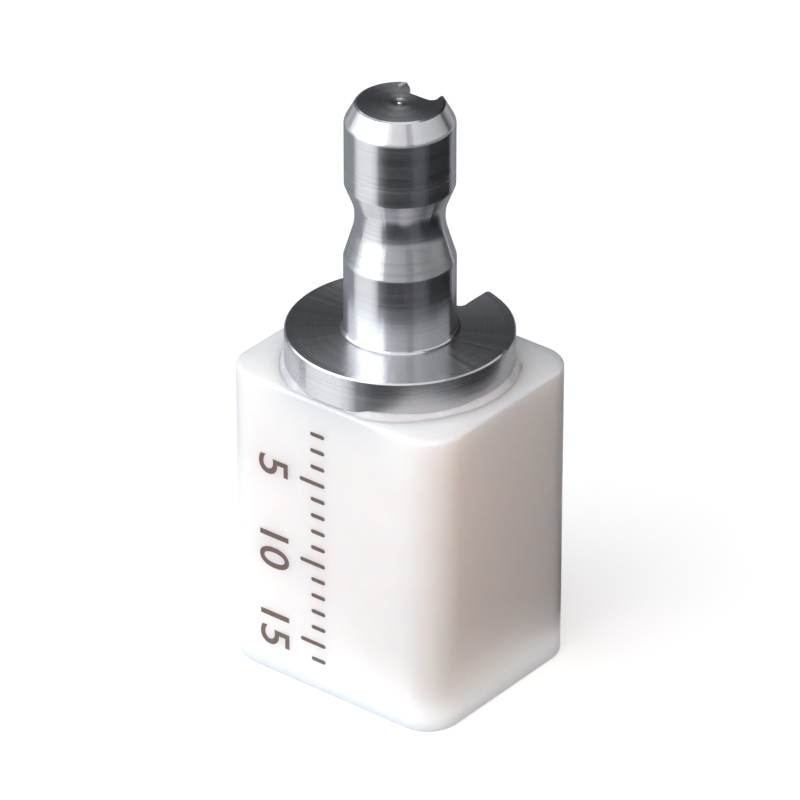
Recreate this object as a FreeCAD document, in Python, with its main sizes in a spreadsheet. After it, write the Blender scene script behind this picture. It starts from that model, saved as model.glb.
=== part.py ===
import FreeCAD, Part
import os
import Sketcher

# A dental milling block: a block of milling ceramic, bonded under the flange of a turned mandrel.
# The origin is at the centre of the block's bottom face. +Z runs up the mandrel's axis, X along
# the block's long side and Y along its short side. The mandrel's two notches face +Y.
# All sizes are in millimetres.

DIMENSIONS = (
    ("block_length", 14.5, "ceramic block, long side, along X"),
    ("block_width", 12.4, "ceramic block, short side, along Y"),
    ("block_height", 18.0, "ceramic block, along Z"),
    ("block_corner_radius", 2.0, "round of the four upright edges"),
    ("block_edge_radius", 0.25, "round of the edges of both end faces"),
    ("film_thickness", 0.12, "bonding cement between block and flange"),
    ("bead_width", 0.35, "cement squeezed out past the flange's rim"),
    ("bead_height", 0.28, "rise of that cement up the flange's side"),
    ("bead_hollow_radius", 0.6, "hollow curve of the bead's free surface"),
    ("flange_diameter", 12.3, "flange that the block is bonded to"),
    ("flange_thickness", 2.0, "flange, along Z"),
    ("flange_edge_break", 0.08, "chamfer of the flange's two rims"),
    ("stem_diameter", 6.0, "lower land, the ground part that centres the mandrel"),
    ("foot_radius", 0.25, "blend between flange and lower land"),
    ("land_length", 4.3, "lower land, along Z"),
    ("lower_taper_length", 2.0, "taper from the lower land down to the waist"),
    ("waist_diameter", 4.8, "waist that the clamping screw bears on"),
    ("waist_length", 1.0, "waist, along Z"),
    ("waist_blend_radius", 2.4, "blends between the waist and its tapers"),
    ("upper_taper_length", 1.4, "taper from the waist up to the head"),
    ("head_diameter", 5.9, "head"),
    ("head_length", 3.6, "head, along Z"),
    ("shoulder_radius", 0.2, "round of the shoulders that face the waist"),
    ("nose_length", 1.1, "tapered lead-in above the head, along Z"),
    ("nose_diameter", 4.7, "flat top of the nose"),
    ("nose_shoulder_radius", 0.5, "round of the shoulder between head and nose"),
    ("nose_edge_break", 0.08, "chamfer of the nose's rim"),
    ("notch_width", 2.4, "both milled notches, along X"),
    ("head_notch_distance", 1.2, "axis to the inner wall of the head's notch"),
    ("head_notch_depth", 1.2, "head's notch, down from the nose's top"),
    ("flange_notch_web", 0.7, "metal between stem and inner wall of the flange's notch"),
    ("notch_corner_radius", 0.3, "inner corners left by the cutter"),
    ("notch_mouth_radius", 0.25, "rounded corners where the flange's notch meets its rim"),
)

# The tangents of both waist blends, in terms of their radius, have to fit into the waist.
BLEND_TANGENTS = (
    "(tan(atan((stem_diameter - waist_diameter) / 2 / lower_taper_length) / 2)"
    " + tan(atan((head_diameter - waist_diameter) / 2 / upper_taper_length) / 2))"
)
FORMULAS = (
    ("flange_notch_distance", "=stem_diameter / 2 + flange_notch_web", "axis to the notch's inner wall"),
    ("waist_blend_limit", f"=0.9 * waist_length / {BLEND_TANGENTS}", "largest blend that the waist has room for"),
)

# The cement's highest point, above the block's top.
CEMENT_CREST = "Sizes.film_thickness + Sizes.bead_height"

# Two places closer than this are the same place when an edge is looked up.
MATCH_TOLERANCE = 1e-4
NODE_FOLDER = "parts"


def make_sheet(doc):
    """Write the dimensions and what follows from them into a spreadsheet, one alias a row."""
    sheet = doc.addObject("Spreadsheet::Sheet", "Sizes")
    for row, (alias, value, note) in enumerate(DIMENSIONS + FORMULAS, start=1):
        sheet.set(f"A{row}", alias)
        sheet.set(f"B{row}", str(value))
        sheet.setAlias(f"B{row}", alias)
        sheet.set(f"C{row}", note)
    doc.recompute()
    return sheet


def make_body(doc, name, height_expression=None):
    """Add a body whose own origin stands at the given height on the axis."""
    body = doc.addObject("PartDesign::Body", name)
    body.Label = name
    if height_expression:
        body.setExpression("Placement.Base.z", height_expression)
    return body


def make_sketch(body, name, plane_role, height_expression=None):
    """Add a sketch on one of the body's origin planes, lifted along Z where a height is given."""
    sketch = body.newObject("Sketcher::SketchObject", name)
    plane = next(feature for feature in body.Origin.OriginFeatures if feature.Role == plane_role)
    sketch.AttachmentSupport = [(plane, "")]
    sketch.MapMode = "FlatFace"
    if height_expression:
        sketch.setExpression("AttachmentOffset.Base.z", height_expression)
    return sketch


def bind(sketch, constraint, expression, name):
    """Add a constraint, name it and tie its value to the spreadsheet."""
    index = sketch.addConstraint(constraint)
    sketch.renameConstraint(index, name)
    sketch.setExpression(f"Constraints.{name}", expression)


def draw_profile(sketch, steps):
    """Draw a half section that starts at the origin and ends on the vertical axis.

    Each step is (name, radius expression or None, rise expression or None). A step with no
    radius goes straight up, and a step with no rise goes straight across.
    """
    points = [(0.0, 0.0)]
    for _, radius, rise in steps:
        across, up = points[-1]
        if radius:
            across = float(sketch.evalExpression(radius))
        if rise:
            up += float(sketch.evalExpression(rise))
        points.append((across, up))

    for start, end in zip(points, points[1:] + points[:1]):
        line = Part.LineSegment(FreeCAD.Vector(*start, 0), FreeCAD.Vector(*end, 0))
        sketch.addGeometry(line, False)
    count = len(points)
    for index in range(count):
        following = (index + 1) % count
        sketch.addConstraint(Sketcher.Constraint("Coincident", index, 2, following, 1))
    sketch.addConstraint(Sketcher.Constraint("Coincident", 0, 1, -1, 1))
    sketch.addConstraint(Sketcher.Constraint("PointOnObject", count - 1, 1, -2))

    for index, (name, radius, rise) in enumerate(steps):
        across = points[index + 1][0]
        climb = points[index + 1][1] - points[index][1]
        if rise:
            length = Sketcher.Constraint("DistanceY", index, 1, index, 2, climb)
            bind(sketch, length, rise, f"{name}_rise")
        else:
            sketch.addConstraint(Sketcher.Constraint("Horizontal", index))
        if not radius:
            sketch.addConstraint(Sketcher.Constraint("Vertical", index))
        elif across > 0:
            reach = Sketcher.Constraint("DistanceX", -1, 1, index, 2, across)
            bind(sketch, reach, radius, f"{name}_radius")


def draw_rectangle(sketch, name, half_width, low, high):
    """Draw a rectangle that is symmetric about the vertical axis, all sizes from expressions."""
    reach = float(sketch.evalExpression(half_width))
    bottom = float(sketch.evalExpression(low))
    top = float(sketch.evalExpression(high))
    corners = [(-reach, bottom), (reach, bottom), (reach, top), (-reach, top)]
    first = sketch.GeometryCount
    for start, end in zip(corners, corners[1:] + corners[:1]):
        line = Part.LineSegment(FreeCAD.Vector(*start, 0), FreeCAD.Vector(*end, 0))
        sketch.addGeometry(line, False)
    for side in range(4):
        following = first + (side + 1) % 4
        sketch.addConstraint(Sketcher.Constraint("Coincident", first + side, 2, following, 1))
    sketch.addConstraint(Sketcher.Constraint("Symmetric", first, 1, first, 2, -2))
    for side, direction in enumerate(("Vertical", "Horizontal", "Vertical"), start=1):
        sketch.addConstraint(Sketcher.Constraint(direction, first + side))
    across = Sketcher.Constraint("DistanceX", -1, 1, first, 2, reach)
    bind(sketch, across, half_width, f"{name}_half_width")
    lower = Sketcher.Constraint("DistanceY", -1, 1, first, 2, bottom)
    bind(sketch, lower, low, f"{name}_low")
    upper = Sketcher.Constraint("DistanceY", -1, 1, first + 1, 2, top)
    bind(sketch, upper, high, f"{name}_high")


def revolve(body, sketch, name):
    """Turn a half section about its vertical axis."""
    turned = body.newObject("PartDesign::Revolution", name)
    turned.Profile = sketch
    turned.ReferenceAxis = (sketch, ["V_Axis"])
    turned.Angle = 360.0
    sketch.Document.recompute()
    return turned


def cut_down(body, sketch, name, depth_expression=None):
    """Cut a sketch downwards, to a depth or right through, and see that it removed material."""
    doc = body.Document
    doc.recompute()
    before = body.Shape.Volume
    pocket = body.newObject("PartDesign::Pocket", name)
    pocket.Profile = sketch
    if depth_expression:
        pocket.Type = "Length"
        pocket.setExpression("Length", depth_expression)
    else:
        pocket.Type = "ThroughAll"
    doc.recompute()
    if not body.Shape.Volume < before:
        raise RuntimeError(f"{name} cut nothing")
    return pocket


def ease(body, base, kind, name, edges, size_expression):
    """Round ("Fillet", Radius) or chamfer ("Chamfer", Size) the named edges of a feature."""
    if not edges:
        raise RuntimeError(f"{name} found no edge")
    feature = body.newObject(f"PartDesign::{kind}", name)
    feature.Base = (base, edges)
    feature.setExpression("Radius" if kind == "Fillet" else "Size", size_expression)
    body.Document.recompute()
    return feature


def same(first, second):
    """Say whether two lengths are the same."""
    return abs(first - second) < MATCH_TOLERANCE


def ring_edges(shape, radius, height):
    """Name the circular edges of a radius about the axis at a height."""
    names = []
    for index, edge in enumerate(shape.Edges, start=1):
        curve = None if edge.Degenerated else edge.Curve
        if isinstance(curve, Part.Circle) and same(curve.Radius, radius):
            if same(curve.Center.z, height) and same(curve.Center.x, 0) and same(curve.Center.y, 0):
                names.append(f"Edge{index}")
    return names


def upright_edges(shape, reach, depth, top):
    """Name the edges that run along Z at X = reach and -reach and Y = depth, up to a top."""
    names = []
    for index, edge in enumerate(shape.Edges, start=1):
        ends = [vertex.Point for vertex in edge.Vertexes]
        if len(ends) != 2 or not same(ends[0].x, ends[1].x):
            continue
        at_place = [same(abs(end.x), reach) and same(end.y, depth) for end in ends]
        if all(at_place) and same(max(end.z for end in ends), top):
            names.append(f"Edge{index}")
    return names


def level_edges(shape, height, clearance=0.0):
    """Name the edges that lie at one height and keep a clearance from the axis."""
    names = []
    for index, edge in enumerate(shape.Edges, start=1):
        ends = [vertex.Point for vertex in edge.Vertexes]
        if all(same(end.z, height) and (end.x ** 2 + end.y ** 2) ** 0.5 > clearance for end in ends):
            names.append(f"Edge{index}")
    return names


def make_ceramic_block(doc, sizes):
    """The block: four rounded upright edges, flat ends with a slight round."""
    body = make_body(doc, "ceramic_block")
    outline = make_sketch(body, "block_outline", "XY_Plane")
    draw_rectangle(outline, "block", "Sizes.block_length / 2", "-Sizes.block_width / 2", "Sizes.block_width / 2")
    pad = body.newObject("PartDesign::Pad", "block_pad")
    pad.Profile = outline
    pad.setExpression("Length", "Sizes.block_height")
    doc.recompute()

    corners = []
    for side in (-1, 1):
        depth = side * sizes.block_width / 2
        corners += upright_edges(pad.Shape, sizes.block_length / 2, depth, sizes.block_height)
    rounded = ease(body, pad, "Fillet", "block_corners", corners, "Sizes.block_corner_radius")
    ends = level_edges(rounded.Shape, 0.0) + level_edges(rounded.Shape, sizes.block_height)
    ease(body, rounded, "Fillet", "block_edges", ends, "Sizes.block_edge_radius")
    return body


def make_adhesive_layer(doc):
    """The cement: a film as wide as the flange and a hollow bead round the flange's rim.

    It ends where the block's flat top does and is open where the flange is notched.
    """
    body = make_body(doc, "adhesive_layer", "Sizes.block_height")
    flat_top = make_sketch(body, "block_flat_top", "XY_Plane")
    flat_half_width = "Sizes.block_width / 2 - Sizes.block_edge_radius"
    flat_half_length = "Sizes.block_length / 2 - Sizes.block_edge_radius"
    draw_rectangle(flat_top, "flat", flat_half_length, f"-({flat_half_width})", flat_half_width)
    slab = body.newObject("PartDesign::Pad", "cement_slab")
    slab.Profile = flat_top
    slab.setExpression("Length", f"{CEMENT_CREST} + Sizes.bead_height")
    doc.recompute()

    section = make_sketch(body, "cement_clearing_section", "XZ_Plane")
    draw_cement_clearing(section)
    before = body.Shape.Volume
    clearing = body.newObject("PartDesign::Groove", "cement_clearing")
    clearing.Profile = section
    clearing.ReferenceAxis = (section, ["V_Axis"])
    clearing.Angle = 360.0
    doc.recompute()
    if not body.Shape.Volume < before:
        raise RuntimeError("cement_clearing cut nothing")

    mouth = make_sketch(body, "cement_notch_outline", "XY_Plane", CEMENT_CREST)
    draw_rectangle(mouth, "notch", "Sizes.notch_width / 2", "Sizes.flange_notch_distance", "Sizes.flange_diameter")
    cut_down(body, mouth, "cement_notch")
    return body


def draw_cement_clearing(sketch):
    """Draw the half section of all that is no cement: outside the bead's hollow arc and above the film."""
    widths = {
        "rim": "Sizes.flange_diameter / 2",
        "toe": "Sizes.flange_diameter / 2 + Sizes.bead_width",
        "far": "(Sizes.block_length + Sizes.block_width) / 2",
    }
    heights = {
        "film": "Sizes.film_thickness",
        "crest": CEMENT_CREST,
        "ceiling": f"{CEMENT_CREST} + 2 * Sizes.bead_height",
    }
    across = {name: float(sketch.evalExpression(text)) for name, text in widths.items()}
    up = {name: float(sketch.evalExpression(text)) for name, text in heights.items()}
    hollow = float(sketch.evalExpression("Sizes.bead_hollow_radius"))

    toe = FreeCAD.Vector(across["toe"], 0, 0)
    crest = FreeCAD.Vector(across["rim"], up["crest"], 0)
    chord = crest - toe
    outward = FreeCAD.Vector(chord.y, -chord.x, 0).normalize()
    centre = (toe + crest) / 2 + outward * (hollow ** 2 - (chord.Length / 2) ** 2) ** 0.5
    circle = Part.Circle(centre, FreeCAD.Vector(0, 0, 1), hollow)
    bead = sketch.addGeometry(Part.ArcOfCircle(circle, circle.parameter(crest), circle.parameter(toe)), False)

    corners = [
        toe,
        FreeCAD.Vector(across["far"], 0, 0),
        FreeCAD.Vector(across["far"], up["ceiling"], 0),
        FreeCAD.Vector(0, up["ceiling"], 0),
        FreeCAD.Vector(0, up["film"], 0),
        FreeCAD.Vector(across["rim"], up["film"], 0),
        crest,
    ]
    names = ("floor", "outside", "ceiling", "axis", "film", "side")
    lines = {}
    for name, start, end in zip(names, corners, corners[1:]):
        lines[name] = sketch.addGeometry(Part.LineSegment(start, end), False)
    for name, following in zip(names, names[1:]):
        sketch.addConstraint(Sketcher.Constraint("Coincident", lines[name], 2, lines[following], 1))
    sketch.addConstraint(Sketcher.Constraint("Coincident", lines["side"], 2, bead, 1))
    sketch.addConstraint(Sketcher.Constraint("Coincident", bead, 2, lines["floor"], 1))
    for name in ("floor", "ceiling", "film"):
        sketch.addConstraint(Sketcher.Constraint("Horizontal", lines[name]))
    for name in ("outside", "axis", "side"):
        sketch.addConstraint(Sketcher.Constraint("Vertical", lines[name]))
    sketch.addConstraint(Sketcher.Constraint("PointOnObject", lines["floor"], 1, -1))
    sketch.addConstraint(Sketcher.Constraint("PointOnObject", lines["axis"], 1, -2))

    far = Sketcher.Constraint("DistanceX", -1, 1, lines["floor"], 2, across["far"])
    bind(sketch, far, widths["far"], "far")
    rim = Sketcher.Constraint("DistanceX", -1, 1, lines["film"], 2, across["rim"])
    bind(sketch, rim, widths["rim"], "rim")
    overhang = Sketcher.Constraint("DistanceX", lines["side"], 2, lines["floor"], 1, across["toe"] - across["rim"])
    bind(sketch, overhang, "Sizes.bead_width", "toe")
    ceiling = Sketcher.Constraint("DistanceY", -1, 1, lines["outside"], 2, up["ceiling"])
    bind(sketch, ceiling, heights["ceiling"], "ceiling")
    film = Sketcher.Constraint("DistanceY", -1, 1, lines["axis"], 2, up["film"])
    bind(sketch, film, heights["film"], "film")
    climb = Sketcher.Constraint("DistanceY", lines["side"], 1, lines["side"], 2, up["crest"] - up["film"])
    bind(sketch, climb, "Sizes.bead_height", "crest")
    bind(sketch, Sketcher.Constraint("Radius", bead, hollow), "Sizes.bead_hollow_radius", "hollow")


def make_mandrel(doc, sizes):
    """The mandrel: turned in one piece, then notched in the flange and in the head."""
    body = make_body(doc, "mandrel", "Sizes.block_height + Sizes.film_thickness")
    section = make_sketch(body, "mandrel_section", "XZ_Plane")
    steps = (
        ("flange_floor", "Sizes.flange_diameter / 2", None),
        ("flange_side", None, "Sizes.flange_thickness"),
        ("flange_top", "Sizes.stem_diameter / 2", None),
        ("land", None, "Sizes.land_length"),
        ("lower_taper", "Sizes.waist_diameter / 2", "Sizes.lower_taper_length"),
        ("waist", None, "Sizes.waist_length"),
        ("upper_taper", "Sizes.head_diameter / 2", "Sizes.upper_taper_length"),
        ("head", None, "Sizes.head_length"),
        ("nose", "Sizes.nose_diameter / 2", "Sizes.nose_length"),
        ("top", "Sizes.nose_diameter * 0", None),
    )
    draw_profile(section, steps)
    turned = revolve(body, section, "mandrel_turning")

    land_top = sizes.flange_thickness + sizes.land_length
    waist_bottom = land_top + sizes.lower_taper_length
    waist_top = waist_bottom + sizes.waist_length
    head_bottom = waist_top + sizes.upper_taper_length
    head_top = head_bottom + sizes.head_length
    nose_top = head_top + sizes.nose_length

    waist = sizes.waist_diameter / 2
    waist_rings = ring_edges(turned.Shape, waist, waist_bottom) + ring_edges(turned.Shape, waist, waist_top)
    blended = ease(body, turned, "Fillet", "waist_blends", waist_rings, "min(Sizes.waist_blend_radius; Sizes.waist_blend_limit)")

    shoulders = ring_edges(blended.Shape, sizes.stem_diameter / 2, land_top)
    shoulders += ring_edges(blended.Shape, sizes.head_diameter / 2, head_bottom)
    shouldered = ease(body, blended, "Fillet", "shoulders", shoulders, "Sizes.shoulder_radius")
    nose_foot = ring_edges(shouldered.Shape, sizes.head_diameter / 2, head_top)
    rounded = ease(body, shouldered, "Fillet", "nose_shoulder", nose_foot, "Sizes.nose_shoulder_radius")
    foot = ring_edges(rounded.Shape, sizes.stem_diameter / 2, sizes.flange_thickness)
    footed = ease(body, rounded, "Fillet", "foot", foot, "Sizes.foot_radius")

    nose_rim = ring_edges(footed.Shape, sizes.nose_diameter / 2, nose_top)
    ease(body, footed, "Chamfer", "nose_rim", nose_rim, "Sizes.nose_edge_break")

    half_notch = "Sizes.notch_width / 2"
    lengths = ("flange_thickness", "land_length", "lower_taper_length", "waist_length", "upper_taper_length",
               "head_length", "nose_length")
    mandrel_length = " + ".join(f"Sizes.{name}" for name in lengths)
    head_outline = make_sketch(body, "head_notch_outline", "XY_Plane", mandrel_length)
    draw_rectangle(head_outline, "notch", half_notch, "Sizes.head_notch_distance", "Sizes.head_diameter")
    head_notch = cut_down(body, head_outline, "head_notch", "Sizes.head_notch_depth")
    inner = upright_edges(head_notch.Shape, sizes.notch_width / 2, sizes.head_notch_distance, nose_top)
    ease(body, head_notch, "Fillet", "head_notch_corners", inner, "Sizes.notch_corner_radius")

    flange_outline = make_sketch(body, "flange_notch_outline", "XY_Plane", "Sizes.flange_thickness")
    draw_rectangle(flange_outline, "notch", half_notch, "Sizes.flange_notch_distance", "Sizes.flange_diameter")
    flange_notch = cut_down(body, flange_outline, "flange_notch", "Sizes.flange_thickness")
    half_width = sizes.notch_width / 2
    inner = upright_edges(flange_notch.Shape, half_width, sizes.flange_notch_distance, sizes.flange_thickness)
    cornered = ease(body, flange_notch, "Fillet", "flange_notch_corners", inner, "Sizes.notch_corner_radius")
    mouth_depth = ((sizes.flange_diameter / 2) ** 2 - half_width ** 2) ** 0.5
    mouth = upright_edges(cornered.Shape, half_width, mouth_depth, sizes.flange_thickness)
    mouthed = ease(body, cornered, "Fillet", "flange_notch_mouth", mouth, "Sizes.notch_mouth_radius")

    foot_reach = sizes.stem_diameter / 2 + sizes.foot_radius + MATCH_TOLERANCE
    rims = level_edges(mouthed.Shape, sizes.flange_thickness, foot_reach) + level_edges(mouthed.Shape, 0.0)
    ease(body, mouthed, "Chamfer", "flange_rims", rims, "Sizes.flange_edge_break")
    return body


def check(doc):
    """Stop if any object failed, or if a body is empty or not valid."""
    failed = [item.Name for item in doc.Objects if "Invalid" in item.State or "Error" in item.State]
    if failed:
        raise RuntimeError("failed: " + ", ".join(failed))
    for body in doc.findObjects("PartDesign::Body"):
        if body.Shape.isNull() or not body.Shape.isValid():
            raise RuntimeError(f"{body.Label} is not a valid shape")
        if len(body.Shape.Solids) != 1:
            raise RuntimeError(f"{body.Label} is not one solid")


def export(doc):
    """Write each body to a file named by its label, and print its size."""
    os.makedirs(NODE_FOLDER, exist_ok=True)
    for body in doc.findObjects("PartDesign::Body"):
        box = body.Shape.optimalBoundingBox(False)
        print(f"{body.Label}: {box.XLength:.2f} x {box.YLength:.2f} x {box.ZLength:.2f} mm,"
              f" z {box.ZMin:.2f} to {box.ZMax:.2f}, volume {body.Shape.Volume:.1f} mm3")
        body.Shape.exportStep(os.path.join(NODE_FOLDER, f"{body.Label}.step"))


def main():
    """Build the document, check it and write the pieces."""
    doc = FreeCAD.newDocument("dental_milling_block")
    sizes = make_sheet(doc)
    make_ceramic_block(doc, sizes)
    make_adhesive_layer(doc)
    make_mandrel(doc, sizes)
    doc.recompute()
    check(doc)
    export(doc)


main()
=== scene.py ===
"""Looks of a dental milling block: ceramic block, bonding cement, turned steel mandrel and printed scale.

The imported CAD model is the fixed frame. Sizes are in millimetres here and turn to metres as a mesh is made.
"""

import logging
import math
from dataclasses import dataclass, field
from enum import Enum
from typing import Sequence

import bmesh
import bpy
from mathutils import Matrix, Vector, noise


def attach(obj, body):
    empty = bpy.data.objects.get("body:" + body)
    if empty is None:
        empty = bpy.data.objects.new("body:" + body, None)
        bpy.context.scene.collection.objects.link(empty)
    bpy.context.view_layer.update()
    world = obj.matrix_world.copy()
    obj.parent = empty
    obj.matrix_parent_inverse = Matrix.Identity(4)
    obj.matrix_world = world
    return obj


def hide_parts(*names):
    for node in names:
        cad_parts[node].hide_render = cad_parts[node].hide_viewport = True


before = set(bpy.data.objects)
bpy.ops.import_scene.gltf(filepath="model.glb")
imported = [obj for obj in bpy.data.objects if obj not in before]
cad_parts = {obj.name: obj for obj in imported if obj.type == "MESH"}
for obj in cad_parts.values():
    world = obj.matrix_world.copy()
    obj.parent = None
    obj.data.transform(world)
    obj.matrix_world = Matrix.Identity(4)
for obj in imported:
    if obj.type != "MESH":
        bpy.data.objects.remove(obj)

MM = 0.001
TINY = 1e-6
BODY = "root"
FRAME_PIXELS = 800
SENSOR_MM = 36.0
LOG = logging.getLogger("milling_block")

# Sockets of a colour mix, which can't be told apart by name.
MIX_SHARE, MIX_A, MIX_B, MIX_RESULT = 0, 6, 7, 2

Point = tuple[float, float]
Span = tuple[float, float]
Triple = tuple[float, float, float]


class Slot(Enum):
    """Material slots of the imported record."""

    CERAMIC = "ceramic"
    CEMENT = "cement"
    STEEL = "steel"


class Node(Enum):
    """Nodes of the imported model."""

    BLOCK = "ceramic_block"
    CEMENT = "adhesive_layer"
    MANDREL = "mandrel"


def linear(hex_colour: str) -> tuple[float, float, float, float]:
    """Turn an sRGB hex colour to the linear colour that a shader takes.

    Args:
        hex_colour: The colour as "#RRGGBB".

    Returns:
        Red, green and blue as linear values, and an alpha of 1.
    """
    parts = [int(hex_colour[i : i + 2], 16) / 255 for i in (1, 3, 5)]
    low_end, slope, offset, power = 0.04045, 12.92, 0.055, 2.4
    shades = [p / slope if p <= low_end else ((p + offset) / (1 + offset)) ** power for p in parts]
    return shades[0], shades[1], shades[2], 1.0


def heading(azimuth: float, elevation: float) -> Vector:
    """Give the unit vector from the object towards a place round it.

    Args:
        azimuth: Degrees round the vertical, 0 in front of the printed face and 90 on its right.
        elevation: Degrees above the floor.

    Returns:
        The unit vector.
    """
    a, e = math.radians(azimuth), math.radians(elevation)
    return Vector((math.sin(a) * math.cos(e), -math.cos(a) * math.cos(e), math.sin(e)))


def add_node(
    tree: bpy.types.NodeTree, kind: str, inputs: dict | None = None, **settings: object
) -> bpy.types.Node:
    """Add a node, set it up and link it.

    Args:
        tree: The node tree that takes the node.
        kind: The node's type name without its "ShaderNode" prefix.
        inputs: Values or output sockets by the name or number of the input they go to.
        settings: The node's own properties.

    Returns:
        The new node.
    """
    node = tree.nodes.new("ShaderNode" + kind)
    for name, value in settings.items():
        setattr(node, name, value)
    for key, value in (inputs or {}).items():
        if isinstance(value, bpy.types.NodeSocket):
            tree.links.new(value, node.inputs[key])
        else:
            node.inputs[key].default_value = value
    return node


def new_material(name: str) -> tuple[bpy.types.Material, bpy.types.NodeTree]:
    """Make an empty node material.

    Args:
        name: The material's name.

    Returns:
        The material and its node tree.
    """
    material = bpy.data.materials.new(name)
    material.use_nodes = True
    material.node_tree.nodes.clear()
    return material, material.node_tree


def mesh_object(name: str, mesh: bmesh.types.BMesh) -> bpy.types.Object:
    """Put a finished bmesh, drawn in millimetres, into the scene.

    Args:
        name: The name of the new object.
        mesh: The bmesh, which is freed.

    Returns:
        The new object, in metres.
    """
    bmesh.ops.scale(mesh, vec=Vector((MM, MM, MM)), verts=mesh.verts)
    data = bpy.data.meshes.new(name)
    mesh.to_mesh(data)
    mesh.free()
    piece = bpy.data.objects.new(name, data)
    bpy.context.scene.collection.objects.link(piece)
    return piece


@dataclass(frozen=True)
class FiredCeramic:
    """Feldspar glass-ceramic, pressed, fired and ground flat.

    It is white with a trace of warmth, and its ground faces are satin. Light scatters under the surface, red
    light furthest, so a lit face glows warm round the corner into the next one.
    """

    colour: str = "#F4F2F0"
    shade: str = "#EFEBE8"
    index: float = 1.52
    roughness: float = 0.34
    smoother: float = 0.06
    rougher: float = 0.08
    scatter: float = 0.9
    scatter_mm: float = 4.2
    scatter_by_colour: Triple = (1.0, 0.72, 0.55)
    cloud_mm: float = 3.0
    cloud_detail: float = 3.0
    grit_mm: float = 0.12
    grit_detail: float = 4.0
    grit_depth_mm: float = 0.002
    grit_strength: float = 0.25

    def material(self) -> bpy.types.Material:
        """Build the material.

        Returns:
            The material.
        """
        material, tree = new_material("fired_and_ground_glass_ceramic")
        place = add_node(tree, "TexCoord").outputs["Object"]
        cloud = add_node(
            tree,
            "TexNoise",
            {"Vector": place, "Scale": 1 / (self.cloud_mm * MM), "Detail": self.cloud_detail},
        )
        # Grinding grit is about 0.03 mm; drawn four times as coarse, so that it shows at all.
        grit = add_node(
            tree,
            "TexNoise",
            {"Vector": place, "Scale": 1 / (self.grit_mm * MM), "Detail": self.grit_detail},
        ).outputs[0]
        tint = add_node(
            tree,
            "Mix",
            {MIX_SHARE: cloud.outputs[0], MIX_A: linear(self.shade), MIX_B: linear(self.colour)},
            data_type="RGBA",
        )
        satin = add_node(
            tree,
            "MapRange",
            {
                "Value": grit,
                "To Min": self.roughness - self.smoother,
                "To Max": self.roughness + self.rougher,
            },
        )
        relief = add_node(
            tree,
            "Bump",
            {"Strength": self.grit_strength, "Distance": self.grit_depth_mm * MM, "Height": grit},
        )
        shader = add_node(
            tree,
            "BsdfPrincipled",
            {
                "Base Color": tint.outputs[MIX_RESULT],
                "Roughness": satin.outputs[0],
                "IOR": self.index,
                "Subsurface Weight": self.scatter,
                "Subsurface Radius": self.scatter_by_colour,
                # Real scatter is a millimetre or two; deeper here, for the soft change from face to face.
                "Subsurface Scale": self.scatter_mm * MM,
                "Normal": relief.outputs[0],
            },
        )
        add_node(tree, "OutputMaterial", {"Surface": shader.outputs[0]})
        return material


@dataclass(frozen=True)
class SetCement:
    """Methacrylate bonding cement, squeezed out and set.

    It is a pale, half-clear grey with a wet-looking gloss where surface tension drew it smooth.
    """

    colour: str = "#DADADC"
    shade: str = "#C3C3C7"
    index: float = 1.5
    roughness: float = 0.16
    rougher: float = 0.18
    scatter: float = 0.7
    scatter_mm: float = 0.4
    scatter_by_colour: Triple = (1.0, 0.95, 0.9)
    blotch_mm: float = 0.8
    blotch_detail: float = 3.0

    def material(self) -> bpy.types.Material:
        """Build the material.

        Returns:
            The material.
        """
        material, tree = new_material("squeezed_out_resin_cement")
        place = add_node(tree, "TexCoord").outputs["Object"]
        blotch = add_node(
            tree,
            "TexNoise",
            {"Vector": place, "Scale": 1 / (self.blotch_mm * MM), "Detail": self.blotch_detail},
        ).outputs[0]
        tint = add_node(
            tree,
            "Mix",
            {MIX_SHARE: blotch, MIX_A: linear(self.shade), MIX_B: linear(self.colour)},
            data_type="RGBA",
        )
        gloss = add_node(
            tree,
            "MapRange",
            {"Value": blotch, "To Min": self.roughness, "To Max": self.roughness + self.rougher},
        )
        shader = add_node(
            tree,
            "BsdfPrincipled",
            {
                "Base Color": tint.outputs[MIX_RESULT],
                "Roughness": gloss.outputs[0],
                "IOR": self.index,
                "Subsurface Weight": self.scatter,
                "Subsurface Radius": self.scatter_by_colour,
                "Subsurface Scale": self.scatter_mm * MM,
            },
        )
        add_node(tree, "OutputMaterial", {"Surface": shader.outputs[0]})
        return material


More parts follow.
